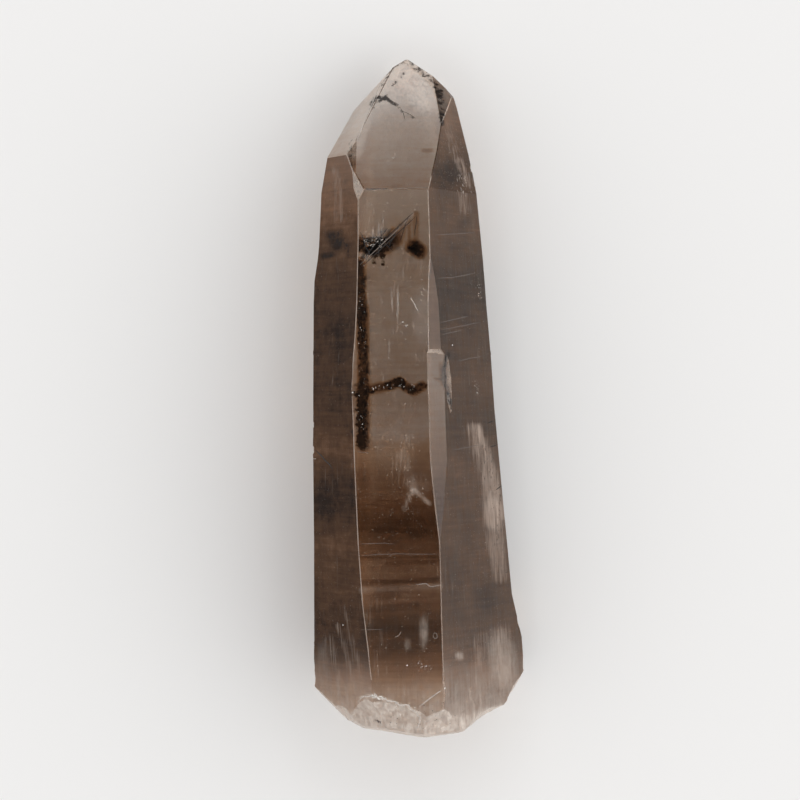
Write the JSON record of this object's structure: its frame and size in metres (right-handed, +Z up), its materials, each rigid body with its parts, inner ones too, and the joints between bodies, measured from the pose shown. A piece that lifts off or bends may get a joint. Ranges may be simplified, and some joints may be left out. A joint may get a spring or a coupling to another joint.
{
  "type": "smoky quartz crystal",
  "caption": "Long clear brown quartz crystal with flat prism faces, a faceted tip and a broken, frosted root. It lies on its flat back face.",
  "frame": {"origin": "middle of the crystal's box at its lowest level, on the flat back prism face that it rests on", "axes": "+Y along the crystal's long axis towards the tip, +Z up from the surface that it lies on, +X to the right of the broad top face with the tip pointing away"},
  "size_m": [0.0512, 0.1626, 0.0442],
  "materials": {
    "smoky_quartz": "polished"
  },
  "bodies": {
    "root": {"smoky_quartz_crystal": "smoky_quartz"}
  },
  "joints": []
}
